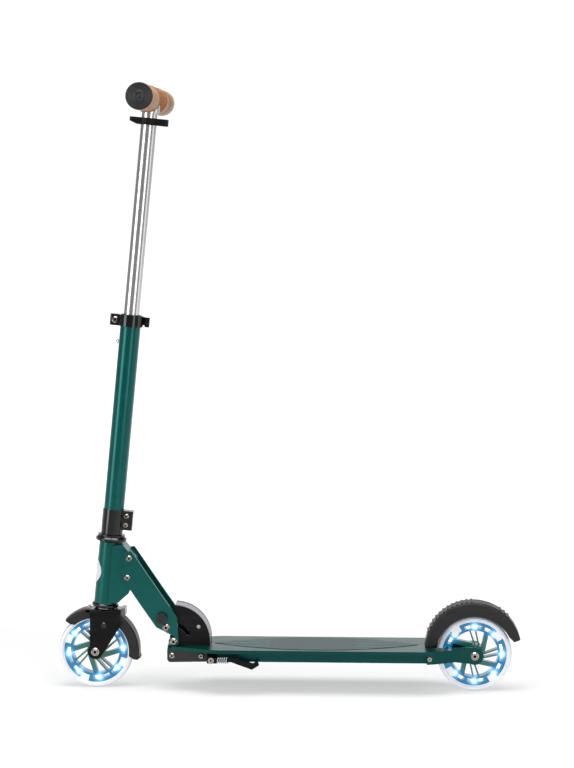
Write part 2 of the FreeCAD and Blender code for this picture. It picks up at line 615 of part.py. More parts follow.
def make_rear_axle():
    reach = ARM_OUT
    bolt = socket_bolt(REAR_AXLE_X, WHEEL_R, reach, -reach - 4.0, 6.6, 3.4, AXLE_R, 2.6)
    nut = across(REAR_AXLE_X, WHEEL_R, 6.6, -reach - 4.4, -reach)
    return bolt.fuse(nut).removeSplitter()


def make_spacers(x, wall_in):
    """Washers that centre the wheel between the two walls that hold the axle."""
    start = WHEEL_WIDTH / 2 + 0.3
    ring = tube(6.2, AXLE_R, start, wall_in)
    return both(laid_across(ring, x, WHEEL_R))


# Handlebar

def make_inner_tube():
    post = tube(INNER_R, 10.9, INNER_LOW, BAR_S - 2)
    post = post.cut(Part.makeCylinder(4.3, 30, Vector(0, 0, PIN_S), FORWARD))
    bar = Part.makeCylinder(CROSS_R, 80, Vector(0, -40, BAR_S), LEFT)
    return on_column(post.cut(bar).removeSplitter())


def make_cross_tube():
    half = GRIP_START - 0.5
    outer = Part.makeCylinder(CROSS_R, 2 * half, Vector(0, -half, BAR_S), LEFT)
    collar = tube(15.0, INNER_R, BAR_S - 20.0, BAR_S - 8.0)
    inner = Part.makeCylinder(CROSS_IN_R, 2 * half, Vector(0, -half, BAR_S), LEFT)
    cross = outer.fuse(collar).cut(inner)
    cross = cross.cut(Part.makeCylinder(INNER_R, BAR_S - 20, Vector(0, 0, 0)))
    for y in (-SNAP_Y, SNAP_Y):
        cross = cross.cut(Part.makeCylinder(3.2, 30, Vector(0, y, BAR_S - 30)))
    return on_column(cross.removeSplitter())


def make_clip():
    """A moulded plate that grips the tube, with an open C at its front and rear for the handles."""
    plate = plan_plate([(30.0, 12.0), (-30.0, 12.0), (-30.0, -12.0), (30.0, -12.0)], CLIP_LOW, CLIP_HIGH)
    plate = rounded(plate, 4.0, lambda edge: (abs(edge.CenterOfMass.x) > 29.5
                                              and abs(edge.CenterOfMass.y) > 11))
    plate = plate.fuse(Part.makeCylinder(16.6, CLIP_HIGH - CLIP_LOW, Vector(0, 0, CLIP_LOW)))
    plate = plate.cut(Part.makeCylinder(INNER_R + 0.02, 60, Vector(0, 0, CLIP_LOW - 20)))
    for x in (-27.0, 27.0):
        plate = plate.cut(Part.makeCylinder(8.6, 60, Vector(x, 0, CLIP_LOW - 20)))
    ramp = side_plate([(18.4, CLIP_LOW - 1), (40.0, CLIP_LOW - 1), (40.0, 913.9), (31.9, 910.8),
                       (18.4, CLIP_LOW)], -20, 20)
    return on_column(plate.cut(ramp).removeSplitter())


def make_height_button():
    start = INNER_R + 0.25
    stem = Part.makeCylinder(3.7 - RUN_GAP, TUBE_R + 2.2 - start, Vector(start, 0, PIN_S), FORWARD)
    dome = Part.makeSphere(3.6, Vector(TUBE_R + 1.2, 0, PIN_S))
    dome = dome.common(Part.makeCylinder(3.7 - RUN_GAP, 20, Vector(TUBE_R, 0, PIN_S), FORWARD))
    return on_column(stem.fuse(dome).removeSplitter())


def make_snap_button(side):
    start = CROSS_IN_R + 0.1
    y = side * SNAP_Y
    stem = Part.makeCylinder(3.2 - RUN_GAP, CROSS_R - start + 1.4, Vector(0, y, BAR_S - CROSS_R - 1.4))
    dome = Part.makeSphere(3.0, Vector(0, y, BAR_S - CROSS_R - 1.0))
    dome = dome.common(box((-5, y - 5, BAR_S - 40), (5, y + 5, BAR_S - CROSS_R)))
    return on_column(stem.fuse(dome).removeSplitter())


def make_grip_tube():
    outer = Part.makeCylinder(CROSS_IN_R - RUN_GAP, GRIP_END - 13.0, Vector(0, 13.0, BAR_S), LEFT)
    inner = Part.makeCylinder(9.2, GRIP_END, Vector(0, 12.0, BAR_S), LEFT)
    hole = Part.makeCylinder(3.6, 30, Vector(0, SNAP_Y, BAR_S - 30))
    return on_column(outer.cut(inner).cut(hole))


def make_grip():
    """A turned handle, full at both ends and waisted in the middle."""
    length = GRIP_END - GRIP_START
    waist = Part.Arc(Vector(GRIP_R, 0, 9), Vector(17.6, 0, length / 2), Vector(GRIP_R, 0, length - 9))
    start_arc = Part.Arc(Vector(GRIP_R - 3, 0, 0), Vector(GRIP_R - 0.5, 0, 3.6), Vector(GRIP_R, 0, 9))
    end_line = Part.LineSegment(Vector(GRIP_R, 0, length - 9), Vector(GRIP_R - 0.3, 0, length))
    bore = CROSS_IN_R - RUN_GAP
    corners = [Vector(GRIP_R - 0.3, 0, length), Vector(bore, 0, length), Vector(bore, 0, 0),
               Vector(GRIP_R - 3, 0, 0)]
    edges = [waist.toShape(), end_line.toShape()] + [
        Part.LineSegment(a, b).toShape() for a, b in zip(corners, corners[1:])] + [start_arc.toShape()]
    face = Part.Face(Part.Wire(Part.__sortEdges__(edges)))
    grip = face.revolve(Vector(0, 0, 0), UP, 360)
    grip.Placement = FreeCAD.Placement(Vector(0, GRIP_START, BAR_S), Rotation(FORWARD, -90))
    return on_column(grip)


def make_end_cap():
    cap = turned([(0, 0), (GRIP_R - 0.3, 0), (GRIP_R - 0.2, 1.6), (GRIP_R - 1.6, 3.0), (8.0, 3.0),
                  (7.0, 3.4), (0, 3.4)])
    cap.Placement = FreeCAD.Placement(Vector(0, GRIP_END + 0.02, BAR_S), Rotation(FORWARD, -90))
    return on_column(cap)


# Wheels, built about the Z axis and laid across

def sector(inner, outer, start, end, half):
    """A ring segment from one angle to another, half a width each side of the wheel's plane."""
    def at(radius, degrees):
        return Vector(*polar(0, 0, radius, degrees), -half)
    middle = (start + end) / 2
    edges = [Part.Arc(at(outer, start), at(outer, middle), at(outer, end)).toShape(),
             Part.LineSegment(at(outer, end), at(inner, end)).toShape(),
             Part.Arc(at(inner, end), at(inner, middle), at(inner, start)).toShape(),
             Part.LineSegment(at(inner, start), at(outer, start)).toShape()]
    return Part.Face(Part.Wire(edges)).extrude(UP * (2 * half))


def bar(start_r, start_deg, end_r, end_deg, width, half):
    """A straight spoke between two points given by radius and angle."""
    a = Vector(*polar(0, 0, start_r, start_deg), -half)
    b = Vector(*polar(0, 0, end_r, end_deg), -half)
    side = (b - a).cross(UP).normalize() * (width / 2)
    corners = [a + side, b + side, b - side, a - side, a + side]
    return Part.Face(Part.makePolygon(corners)).extrude(UP * (2 * half))


def wheel_core():
    """The coloured core: hub, pinwheel spokes, rim, and four windowed teeth."""
    parts = [tube(HUB_R, BEARING_R, -12.0, 12.0), tube(RIM_OUT, RIM_IN, -9.0, 9.0)]
    windows = []
    for i in range(TEETH):
        turn = i * 360.0 / TEETH
        parts.append(sector(RIM_OUT - 1, CORE_R, turn, turn + TOOTH_SPAN, 9.0))
        parts.append(bar(HUB_R - 1, turn + 40, RIM_IN + 1, turn + 55.5, 2.5, 6.5))
        parts.append(bar(HUB_R - 1, turn + 10, RIM_IN + 1, turn + 42, 2.5, 6.5))
        parts.append(bar(HUB_R - 1, turn - 33, RIM_IN + 1, turn + 14, 7.4, 5.5))
        windows += [sector(41.4, 46.2, turn + start, turn + start + 15, 12) for start in (8, 29, 50)]
    core = parts[0].multiFuse(parts[1:]).cut(Part.makeCylinder(BEARING_R, 24.0, Vector(0, 0, -12.0)))
    return core.cut(Part.makeCompound(windows)).removeSplitter()


def wheel_tyre(core_r):
    """The clear tyre, cast about the core: it fills the gaps between the teeth. Its tread is crowned."""
    half = WHEEL_WIDTH / 2
    flank = [(core_r, 9.0), (52.5, 9.5), (55.0, half), (57.2, half - 0.9), (58.7, half - 3.2),
             (59.5, half - 6.2), (59.9, half - 9.4)]
    other = [(radius, -height) for radius, height in reversed(flank)]
    ring = turned(flank + [(WHEEL_R, 0.0)] + other)
    turns = [i * 360.0 / TEETH for i in range(TEETH)]
    teeth = [sector(RIM_OUT - 2, CORE_R, turn, turn + TOOTH_SPAN, 12.0) for turn in turns]
    return ring.cut(Part.makeCompound(teeth))


def wheel_bearings():
    """Two sealed bearings and the sleeve between them."""
    outer = WHEEL_WIDTH / 2 - 0.2
    inner = outer - BEARING_W
    bore = AXLE_R + RUN_GAP
    bearings = [tube(BEARING_R, bore, inner, outer), tube(BEARING_R, bore, -outer, -inner)]
    return Part.makeCompound(bearings + [tube(6.0, bore, -inner + 0.1, inner - 0.1)])


def wheel_lights():
    """The light ring: eight small lamps in the core's windows."""
    lamps = []
    for i in range(TEETH):
        turn = i * 360.0 / TEETH
        lamps += [sector(42.2, 45.4, turn + start, turn + start + 7, 4.0) for start in LAMP_STARTS]
    return Part.makeCompound(lamps)


def save_wheel(end, axle_x, turn):
    pieces = {"_tyre": wheel_tyre(RIM_OUT + 0.02), "_core": wheel_core(), "_bearings": wheel_bearings(),
              "_lights": wheel_lights()}
    for name, piece in pieces.items():
        piece.rotate(Vector(0, 0, 0), UP, turn)
        save(end + name, laid_across(piece, axle_x, WHEEL_R))


# Writing the pieces

SINGLE = {
    "deck": make_deck, "grip_sheet": make_grip_sheet, "fold_block_cheeks": make_cheeks,
    "fold_block_rim": make_rim, "lock_balls": make_lock_balls, "nose_brackets": make_nose_brackets,
    "bracket_screws": make_bracket_screws, "pivot_bolt": make_pivot_bolt,
    "kickstand_block": make_kick_block, "kickstand_pin": make_kick_pin,
    "kickstand_arm": make_kick_arm, "kickstand_spring": make_kick_spring,
    "brake": make_brake, "brake_pin": make_brake_pin, "brake_spring": make_brake_spring,
    "rear_axle": make_rear_axle,
    "head_tube": make_head_tube, "bearing_cups": make_bearing_cups, "head_badge": make_head_badge,
    "neck_bolts": make_neck_bolts, "guide_pin": make_guide_pin, "fold_button": make_fold_button,
    "fork": make_fork, "fork_steerer": make_fork_steerer, "crown_race": make_crown_race,
    "headset_bearings": make_headset_bearings, "locknut": make_locknut,
    "steering_tube": make_steering_tube, "lower_clamp": make_lower_clamp,
    "lower_clamp_bolts": make_lower_clamp_bolts, "collar": make_collar,
    "collar_bolt": make_collar_bolt, "quick_lever": make_quick_lever,
    "front_mudguard": make_front_mudguard, "mudguard_bolts": make_mudguard_bolts,
    "front_axle": make_front_axle, "inner_tube": make_inner_tube, "cross_tube": make_cross_tube,
    "handle_clip": make_clip, "height_button": make_height_button,
}

for piece_name, maker in SINGLE.items():
    save(piece_name, maker())

save("neck_plate_left", make_neck_plate())
save("neck_plate_right", mirror(make_neck_plate()))
save("front_spacers", make_spacers(FRONT_AXLE_X, FORK_IN))
save("rear_spacers", make_spacers(REAR_AXLE_X, ARM_IN))
save("snap_button_left", make_snap_button(1))
save("snap_button_right", make_snap_button(-1))
for grip_part, maker in (("grip", make_grip), ("grip_tube", make_grip_tube), ("grip_cap", make_end_cap)):
    save(grip_part + "_left", maker())
    save(grip_part + "_right", mirror(maker()))
save_wheel("front", FRONT_AXLE_X, -14.5)
save_wheel("rear", REAR_AXLE_X, 46.0)
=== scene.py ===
import math

import bpy
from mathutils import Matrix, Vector


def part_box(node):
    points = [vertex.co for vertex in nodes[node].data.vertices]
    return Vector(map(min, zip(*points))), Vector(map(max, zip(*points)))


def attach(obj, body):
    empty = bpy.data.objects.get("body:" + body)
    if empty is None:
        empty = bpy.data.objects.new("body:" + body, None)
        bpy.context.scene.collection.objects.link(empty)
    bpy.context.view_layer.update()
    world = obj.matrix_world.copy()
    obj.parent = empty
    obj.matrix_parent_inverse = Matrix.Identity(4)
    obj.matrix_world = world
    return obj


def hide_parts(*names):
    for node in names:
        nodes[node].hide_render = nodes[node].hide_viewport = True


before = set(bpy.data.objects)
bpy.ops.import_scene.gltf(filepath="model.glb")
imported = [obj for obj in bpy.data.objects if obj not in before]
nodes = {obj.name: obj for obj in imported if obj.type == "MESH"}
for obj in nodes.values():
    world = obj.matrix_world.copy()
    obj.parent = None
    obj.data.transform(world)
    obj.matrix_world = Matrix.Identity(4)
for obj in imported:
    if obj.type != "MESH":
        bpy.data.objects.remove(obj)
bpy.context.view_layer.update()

# Camera: it looks at the rider's left side through a long lens, from just below the handlebar's
# height, so that both wheels stand almost side on and a little of the deck's top shows.
CAMERA_AT = Vector((-0.1485, 3.4438, 0.8231))
CAMERA_LOOK = Vector((0.0437, -0.9945, -0.0957))
LENS_MM = 102.0
SENSOR_MM = 36.0
CLIP_END = 60.0

camera_data = bpy.data.cameras.new("camera")
camera_data.lens = LENS_MM
camera_data.sensor_width = SENSOR_MM
camera_data.sensor_fit = "AUTO"
camera_data.clip_end = CLIP_END
camera = bpy.data.objects.new("camera", camera_data)
camera.location = CAMERA_AT
camera.rotation_euler = CAMERA_LOOK.to_track_quat("-Z", "Y").to_euler()
bpy.context.scene.collection.objects.link(camera)
bpy.context.scene.camera = camera
bpy.context.scene.view_settings.view_transform = "Standard"
bpy.context.scene.view_settings.look = "None"


# Backdrop: a plain world, white behind the scooter and dim grey all round it, so that the black and
# green finishes keep their depth.
WHITE_UP_TO = 0.035
GREY_FROM = 0.13
WHITE = (1.0, 1.0, 1.0, 1)
DIM_GREY = (0.27, 0.27, 0.275, 1)
SKY_STRENGTH = 1.04

world = bpy.data.worlds.new("studio")
world.use_nodes = True
bpy.context.scene.world = world
sky = world.node_tree
direction = sky.nodes.new("ShaderNodeTexCoord")
split = sky.nodes.new("ShaderNodeSeparateXYZ")
ramp = sky.nodes.new("ShaderNodeValToRGB")
remap = sky.nodes.new("ShaderNodeMapRange")
remap.inputs["From Min"].default_value = -1.0
for stop, position, shade in zip(ramp.color_ramp.elements, (WHITE_UP_TO, GREY_FROM), (WHITE, DIM_GREY)):
    stop.position = position
    stop.color = shade
sky.links.new(direction.outputs["Generated"], split.inputs[0])
sky.links.new(split.outputs["Y"], remap.inputs["Value"])
sky.links.new(remap.outputs["Result"], ramp.inputs["Fac"])
sky.links.new(ramp.outputs["Color"], sky.nodes["Background"].inputs["Color"])
sky.nodes["Background"].inputs["Strength"].default_value = SKY_STRENGTH


# Lamps: two tall soft boxes on the rider's left, which draw two light stripes along every round tube,
# a dimmer one behind the tail, and a wide one overhead.
SOFT_BOXES = (
    # name, place, the point it faces, width, height, watts
    ("front_soft_box", (2.1, 1.45, 0.9), (0.25, 0, 0.5), 1.0, 2.4, 34),
    ("rear_soft_box", (-1.05, 2.05, 0.9), (0.2, 0, 0.5), 0.8, 2.4, 17),
    ("tail_soft_box", (-2.5, 0.25, 0.9), (0.2, 0, 0.5), 1.2, 2.4, 8),
    ("overhead_soft_box", (0, 0.3, 2.6), (0, 0, 0), 2.4, 1.6, 66),
)
for name, place, target, width, height, watts in SOFT_BOXES:
    lamp_data = bpy.data.lights.new(name, "AREA")
    lamp_data.shape = "RECTANGLE"
    lamp_data.size = width
    lamp_data.size_y = height
    lamp_data.energy = watts
    soft_box = bpy.data.objects.new(name, lamp_data)
    soft_box.location = place
    soft_box.rotation_euler = (Vector(target) - Vector(place)).to_track_quat("-Z", "Y").to_euler()
    bpy.context.scene.collection.objects.link(soft_box)


# Floor: a wide sheet of matt pale paper. It gives off a little light of its own, less in front of the
# scooter, and more in the strip behind it, where it runs into the white backdrop.
FLOOR_HALF = 30.0
FLOOR_SHADE = 0.46
NEAR_GLOW, FRONT_GLOW = 0.44, 0.12
FRONT_FADE = (0.5, 1.1)
STRIP_GLOW = 0.60
STRIP_FADE = (-0.35, -1.3)
STRIP_SIDE_FADE = (0.9, 4.5)
STRIP_WIDENS = 0.20


def shader_group(name, inputs, outputs):
    """An empty shader node group with float inputs and the outputs asked for."""
    tree = bpy.data.node_groups.new(name, "ShaderNodeTree")
    for label, default in inputs:
        socket = tree.interface.new_socket(label, in_out="INPUT", socket_type="NodeSocketFloat")
        socket.default_value = default
    for label in outputs:
        tree.interface.new_socket(label, in_out="OUTPUT", socket_type="NodeSocketFloat")
    return tree, tree.nodes.new("NodeGroupInput"), tree.nodes.new("NodeGroupOutput")


def grain_group():
    """Fine even grain, from 0 to 1: a noise with small cells over it."""
    tree, given, result = shader_group("grain", [("Scale", 900.0), ("Detail", 2.0)], ["Height"])
    place = tree.nodes.new("ShaderNodeTexCoord")
    fine = tree.nodes.new("ShaderNodeTexNoise")
    cells = tree.nodes.new("ShaderNodeTexVoronoi")
    blend = tree.nodes.new("ShaderNodeMix")
    blend.inputs["Factor"].default_value = 0.45
    for texture in (fine, cells):
        tree.links.new(place.outputs["Object"], texture.inputs["Vector"])
        tree.links.new(given.outputs["Scale"], texture.inputs["Scale"])
    tree.links.new(given.outputs["Detail"], fine.inputs["Detail"])
    tree.links.new(fine.outputs["Fac"], blend.inputs["A"])
    tree.links.new(cells.outputs["Distance"], blend.inputs["B"])
    tree.links.new(blend.outputs["Result"], result.inputs["Height"])
    return tree


GRAIN = grain_group()


class Finish:
    """One material: its tree, its shader, and short ways to add nodes and links."""

    def __init__(self, name, **sockets):
        self.material = bpy.data.materials.new(name)
        self.material.use_nodes = True
        self.tree = self.material.node_tree
        self.shader = self.tree.nodes["Principled BSDF"]
        for label, value in sockets.items():
            self.shader.inputs[label.replace("_", " ")].default_value = value

    def add(self, kind, **settings):
        node = self.tree.nodes.new(kind)
        for label, value in settings.items():
            if label in node.inputs:
                node.inputs[label].default_value = value
            else:
                setattr(node, label, value)
        return node

    def group(self, tree, **inputs):
        node = self.tree.nodes.new("ShaderNodeGroup")
        node.node_tree = tree
        for label, value in inputs.items():
            node.inputs[label.replace("_", " ")].default_value = value
        return node

    def link(self, out, to):
        self.tree.links.new(out, to)

    def math(self, operation, a, b=None, c=None):
        node = self.add("ShaderNodeMath", operation=operation)
        for i, value in enumerate((a, b, c)):
            if isinstance(value, (int, float)):
                node.inputs[i].default_value = value
            elif value is not None:
                self.link(value, node.inputs[i])
        return node.outputs[0]

    def axes(self, vector):
        """The three parts of a vector, as three values."""
        node = self.add("ShaderNodeSeparateXYZ")
        self.link(vector, node.inputs[0])
        return node.outputs

    def fade(self, value, start, end, low, high):
        """A smooth change from low to high as a value goes from start to end."""
        node = self.add("ShaderNodeMapRange", interpolation_type="SMOOTHSTEP")
        for label, number in (("From Min", start), ("From Max", end), ("To Min", low), ("To Max", high)):
            node.inputs[label].default_value = number
        self.link(value, node.inputs["Value"])
        return node.outputs["Result"]

    def ramp(self, value, *stops):
        """Colours between stops of (position, colour)."""
        node = self.add("ShaderNodeValToRGB")
        elements = node.color_ramp.elements
        while len(elements) < len(stops):
            elements.new(0.5)
        for element, (position, colour) in zip(elements, stops):
            element.position = position
            element.color = (*colour, 1)
        self.link(value, node.inputs["Fac"])
        return node.outputs["Color"]

    def grain(self, scale, height, detail=2.0):
        """Bumps the surface by this height in metres."""
        source = self.group(GRAIN, Scale=scale, Detail=detail)
        bump = self.add("ShaderNodeBump", Distance=height, Strength=1.0)
        self.link(source.outputs["Height"], bump.inputs["Height"])
        self.link(bump.outputs["Normal"], self.shader.inputs["Normal"])
        return source.outputs["Height"]

    def colour(self, out):
        self.link(out, self.shader.inputs["Base Color"])

    def on(self, *names):
        """Puts this finish on CAD nodes."""
        for name in names:
            nodes[name].data.materials.clear()
            nodes[name].data.materials.append(self.material)


floor_mesh = bpy.data.meshes.new("floor")
floor_corners = [(x * FLOOR_HALF, y * FLOOR_HALF, 0) for x, y in ((-1, -1), (1, -1), (1, 1), (-1, 1))]
floor_mesh.from_pydata(floor_corners, [], [(0, 1, 2, 3)])
floor = bpy.data.objects.new("floor", floor_mesh)
bpy.context.scene.collection.objects.link(floor)

paper = Finish("pale_floor", Base_Color=(FLOOR_SHADE, FLOOR_SHADE, FLOOR_SHADE, 1), Roughness=0.9,
               Specular_IOR_Level=0.1, Emission_Color=WHITE)
paper.grain(40.0, 0.0001)
floor_axes = paper.axes(paper.add("ShaderNodeNewGeometry").outputs["Position"])
behind = paper.fade(floor_axes["Y"], *STRIP_FADE, 0.0, 1.0)
aside = paper.math("ABSOLUTE", floor_axes["X"])
sideways = paper.math("MULTIPLY_ADD", floor_axes["Y"], STRIP_WIDENS, aside)
strip = paper.math("MULTIPLY", behind, paper.fade(sideways, *STRIP_SIDE_FADE, 1.0, 0.0))
near = paper.fade(floor_axes["Y"], *FRONT_FADE, NEAR_GLOW, FRONT_GLOW)
paper.link(paper.math("MULTIPLY_ADD", strip, STRIP_GLOW, near), paper.shader.inputs["Emission Strength"])
floor_mesh.materials.append(paper.material)


# Deck and rear arms: one pressed and welded aluminium channel with a flanged top, sprayed in a satin teal
# green. Hands and shoes dull the paint in soft clouds, as they do every other finish here. The deck's copy
# of the green is darker than the neck's, a painted shade.
PAINT = (0.0004, 0.078, 0.070)
PAINT_RUBBED = (0.001, 0.092, 0.082)
# How much of the green the deck's paint keeps: less than the neck's, a painted shade on the deck.
DECK_PAINTED_SHADE_SHARE = 0.68


def wear_group():
    """Soft clouds and fine streaks of handling, from 0 to Amount."""
    tree, given, result = shader_group("wear", [("Scale", 14.0), ("Amount", 0.3)], ["Mask"])
    place = tree.nodes.new("ShaderNodeTexCoord")
    stretch = tree.nodes.new("ShaderNodeMapping")
    stretch.inputs["Scale"].default_value = (1.0, 3.0, 6.0)
    cloud = tree.nodes.new("ShaderNodeTexNoise")
    cloud.inputs["Detail"].default_value = 6.0
    cloud.inputs["Roughness"].default_value = 0.62
    level = tree.nodes.new("ShaderNodeMapRange")
    level.inputs["From Min"].default_value = 0.48
    level.inputs["From Max"].default_value = 0.78
    tree.links.new(place.outputs["Object"], stretch.inputs["Vector"])
    tree.links.new(stretch.outputs["Vector"], cloud.inputs["Vector"])
    tree.links.new(given.outputs["Scale"], cloud.inputs["Scale"])
    tree.links.new(cloud.outputs["Fac"], level.inputs["Value"])
    tree.links.new(given.outputs["Amount"], level.inputs["To Max"])
    tree.links.new(level.outputs["Result"], result.inputs["Mask"])
    return tree


WEAR = wear_group()


def worn(finish, smooth, dull, clouds):
    """Roughness from smooth on a clean surface to dull where it is handled, and the mask between them."""
    mask = finish.group(WEAR, Scale=clouds, Amount=1.0).outputs["Mask"]
    rough = finish.add("ShaderNodeMapRange")
    rough.inputs["To Min"].default_value = smooth
    rough.inputs["To Max"].default_value = dull
    finish.link(mask, rough.inputs["Value"])
    finish.link(rough.outputs["Result"], finish.shader.inputs["Roughness"])
    return mask


def handled(name, fresh, rubbed, smooth, dull, grain, clouds=14.0, **sockets):
    """A finish with fresh and rubbed colours, smooth and dull roughness, and (scale, height) of grain."""
    finish = Finish(name, **sockets)
    finish.colour(finish.ramp(worn(finish, smooth, dull, clouds), (0.0, fresh), (1.0, rubbed)))
    finish.grain(*grain)
    return finish


def painted(name, coat, light):
    """The green paint under this much lacquer, with its colours times a share that paints light or shade
    onto it.
    """
    fresh, rubbed = [tuple(part * light for part in colour) for colour in (PAINT, PAINT_RUBBED)]
    return handled(name, fresh, rubbed, 0.30, 0.40, (1500.0, 0.00002), Metallic=0.6, Coat_Weight=coat,
                   Coat_Roughness=0.14, Specular_IOR_Level=0.15)


deck_paint = painted("deck_paint", 0.12, DECK_PAINTED_SHADE_SHARE)
deck_paint.on("deck")


# Grit sheet: a leaf of clear grip varnish with mineral grains, laid on the deck, its two ends cut by
# curved veins where the varnish was left smooth and lighter.
VEIN_RADIANS_PER_METRE = 330.0
SWAY_RADIANS_PER_METRE = 9.0
VEIN_SWAY = 0.012
VEIN_FROM, VEIN_CAP, VEIN_SOFTNESS, VEIN_GAIN = 0.55, 0.3, 0.1, 2.6
PLAIN_MIDDLE, PLAIN_HALF = -0.04, 0.07
GRAIN_SHARE, VEIN_SHARE = 0.55, 0.7
DARK_GRIT, GREY_GRIT, GREEN_GRIT = (0.022, 0.036, 0.037), (0.056, 0.088, 0.088), (0.035, 0.165, 0.145)

grit = Finish("grit", Specular_IOR_Level=0.4, Coat_Weight=0.15, Coat_Roughness=0.4, Roughness=0.55)
grains = grit.grain(1100.0, 0.0005, detail=4.0)
sheet_axes = grit.axes(grit.add("ShaderNodeTexCoord").outputs["Object"])
along, aside = sheet_axes["X"], sheet_axes["Y"]
wave = grit.math("SINE", grit.math("MULTIPLY", along, SWAY_RADIANS_PER_METRE))
sway = grit.math("MULTIPLY", wave, VEIN_SWAY)
veins = grit.math("SINE", grit.math("MULTIPLY", grit.math("ADD", aside, sway), VEIN_RADIANS_PER_METRE))
crest = grit.math("MAXIMUM", grit.math("SUBTRACT", veins, VEIN_FROM), 0.0)
vein_mask = grit.math("MULTIPLY", grit.math("SMOOTH_MIN", crest, VEIN_CAP, VEIN_SOFTNESS), VEIN_GAIN)
middle = grit.math("COMPARE", along, PLAIN_MIDDLE, PLAIN_HALF)
vein_mask = grit.math("MULTIPLY", vein_mask, grit.math("SUBTRACT", 1.0, middle))
lightness = grit.math("ADD", grit.math("MULTIPLY", grains, GRAIN_SHARE),
                      grit.math("MULTIPLY", vein_mask, VEIN_SHARE))
grit.colour(grit.ramp(lightness, (0.0, DARK_GRIT), (0.45, GREY_GRIT), (1.0, GREEN_GRIT)))
grit.on("grip_sheet")


# Fold block: two black moulded cheeks bolted each side of a ribbed grey rim. The neck plates swing
# past the cheeks, and a curved slot lets the guide pin through. The lever and the handle clip are
# moulded in the same black.
black_moulding = handled("black_moulding", (0.006, 0.006, 0.007), (0.014, 0.014, 0.016), 0.42, 0.62,
                         (1400.0, 0.00008), clouds=22.0, Specular_IOR_Level=0.12)
black_moulding.on("fold_block_cheeks", "quick_lever", "handle_clip")

rim_plastic = handled("rim_plastic", (0.30, 0.29, 0.32), (0.40, 0.39, 0.42), 0.36, 0.5,
                      (1200.0, 0.00004), Specular_IOR_Level=0.5)
rim_plastic.on("fold_block_rim")


# Steel parts: balls, bearings and the steerer are turned, ground and slightly warm in colour. Springs
# and spacers are zinc plated, and the race that sits on the fork is blackened.
STEEL, WORN_STEEL = (0.60, 0.54, 0.47), (0.34, 0.30, 0.26)


def turned_steel(name):
    """A steel finish without its colour yet, and its mask of wear."""
    metal = Finish(name, Metallic=1.0, Anisotropic=0.3)
    metal.grain(2200.0, 0.00003)
    return metal, worn(metal, 0.20, 0.38, 60.0)


for name, clean, rubbed, steel_nodes in (
        ("bright_steel", STEEL, WORN_STEEL,
         ("lock_balls", "fork_steerer", "headset_bearings", "front_bearings", "rear_bearings")),
        ("yoke_steel", (0.16, 0.16, 0.17), (0.06, 0.06, 0.065), ("crown_race",))):
    steel, steel_wear = turned_steel(name)
    steel.colour(steel.ramp(steel_wear, (0.0, clean), (1.0, rubbed)))
    steel.on(*steel_nodes)

zinc = handled("zinc", (0.42, 0.43, 0.46), (0.30, 0.31, 0.33), 0.24, 0.42, (1500.0, 0.00004),
               clouds=50.0, Metallic=1.0)
zinc.on("rear_spacers", "front_spacers", "brake_spring")


# Socket bolts: plated steel heads on axes along Y. Every head is painted in rings: a black disc of painted
# shade for its hexagon socket, a dark ring of painted shade for a turned groove, steel rings lighter and
# darker as painted shading, a painted highlight on its rim and painted shade at its edge.
BOLTS = {
    # node: the radius of its heads in metres, and how many heads show from the side
    "bracket_screws": (0.0046, 2),
    "pivot_bolt": (0.0062, 1),
    "kickstand_pin": (0.0046, 1),
    "brake_pin": (0.0034, 1),
    "rear_axle": (0.0066, 1),
    "front_axle": (0.0066, 1),
    "neck_bolts": (0.0048, 2),
    "guide_pin": (0.0061, 1),
    "lower_clamp_bolts": (0.0044, 2),
    "collar_bolt": (0.0052, 1),
}
# Ring colours: painted shade in the socket and the groove, a painted highlight on the rim, and painted
# shade at the edge.
SOCKET_PAINTED_SHADE, SOCKET_RIM_PAINTED_SHADE, GROOVE_PAINTED_SHADE = (0.004, 0.004, 0.004), (0.012, 0.011, 0.010), (0.05, 0.045, 0.04)
RIM_PAINTED_HIGHLIGHT, EDGE_PAINTED_SHADE = (0.50, 0.46, 0.41), (0.22, 0.20, 0.18)
HEAD_PAINTED_SHADING_RINGS = ((0.0, SOCKET_PAINTED_SHADE), (0.36, SOCKET_RIM_PAINTED_SHADE), (0.44, STEEL), (0.60, WORN_STEEL), (0.68, GROOVE_PAINTED_SHADE),
              (0.76, WORN_STEEL), (0.86, STEEL), (0.97, RIM_PAINTED_HIGHLIGHT), (1.0, EDGE_PAINTED_SHADE))
HEAD_SCUFFING = 0.06


def bolt_head_group():
    """From a point and a head's centre and radius, how far out the point is, from 0 to 1 at the rim."""
    inputs = [("Head X", 0.0), ("Head Z", 0.0), ("Radius", 0.005)]
    tree, given, result = shader_group("bolt_head", inputs, ["Out"])
    place = tree.nodes.new("ShaderNodeTexCoord")
    axes = tree.nodes.new("ShaderNodeSeparateXYZ")
    tree.links.new(place.outputs["Object"], axes.inputs[0])

    def step(operation, a, b=None):
        node = tree.nodes.new("ShaderNodeMath")
        node.operation = operation
        tree.links.new(a, node.inputs[0])
        if b is not None:
            tree.links.new(b, node.inputs[1])
        return node.outputs[0]

    across = step("SUBTRACT", axes.outputs["X"], given.outputs["Head X"])
    up = step("SUBTRACT", axes.outputs["Z"], given.outputs["Head Z"])
    distance = step("SQRT", step("ADD", step("MULTIPLY", across, across), step("MULTIPLY", up, up)))
    tree.links.new(step("DIVIDE", distance, given.outputs["Radius"]), result.inputs["Out"])
    return tree


def head_centres(node, radius, count):
    """Where a node's heads are, by its box: one in the middle, or two in opposite corners."""
    low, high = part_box(node)
    if count == 1:
        return [((low.x + high.x) / 2, (low.z + high.z) / 2)]
    return [(low.x + radius, high.z - radius), (high.x - radius, low.z + radius)]


